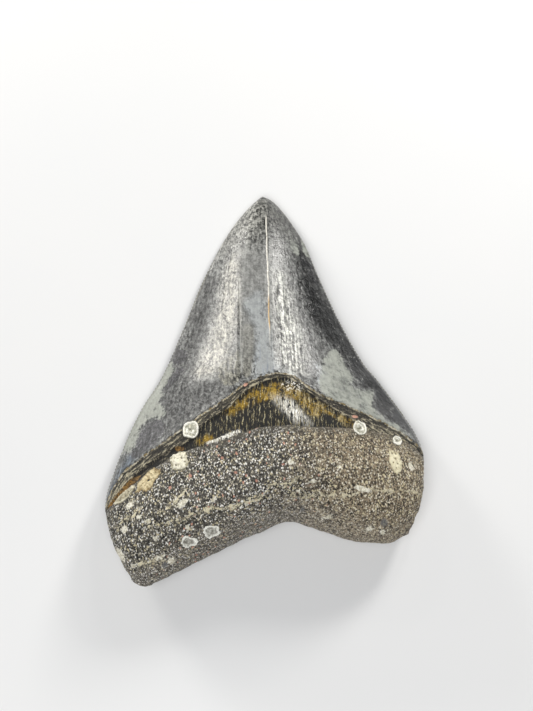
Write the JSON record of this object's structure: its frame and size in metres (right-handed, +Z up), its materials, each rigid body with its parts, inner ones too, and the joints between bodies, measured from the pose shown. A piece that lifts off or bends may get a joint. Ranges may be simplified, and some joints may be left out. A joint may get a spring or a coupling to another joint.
{
  "type": "megalodon tooth",
  "caption": "Fossil megalodon tooth lying on its flat labial face: broad serrated blade, dark bourlette, rough two-lobed root with barnacle bases and crusts.",
  "frame": {"origin": "under the middle of the tooth's box, on the surface it lies on", "axes": "+Y from the root to the tip along the tooth's length, +Z up through its thickness, out of the bulging lingual face"},
  "size_m": [0.0911, 0.1229, 0.0254],
  "materials": {
    "fossil_tooth": "satin blue-grey enamel with a chevron of dark, golden-brown bourlette and a matt, speckled dark grey root",
    "barnacle_shell": "matt chalky white rings",
    "marine_crust": "matt pitted cream crust"
  },
  "bodies": {
    "root": {"tooth": "fossil_tooth", "barnacle_base_left": "barnacle_shell", "barnacle_base_right": "barnacle_shell", "barnacle_base_far_right": "barnacle_shell", "coral_crust_left": "marine_crust", "bryozoan_crust_right": "marine_crust", "bryozoan_crust_left": "marine_crust", "oyster_spat_left": "marine_crust", "oyster_spat_middle": "marine_crust", "oyster_spat_lobe": "marine_crust"}
  },
  "joints": []
}
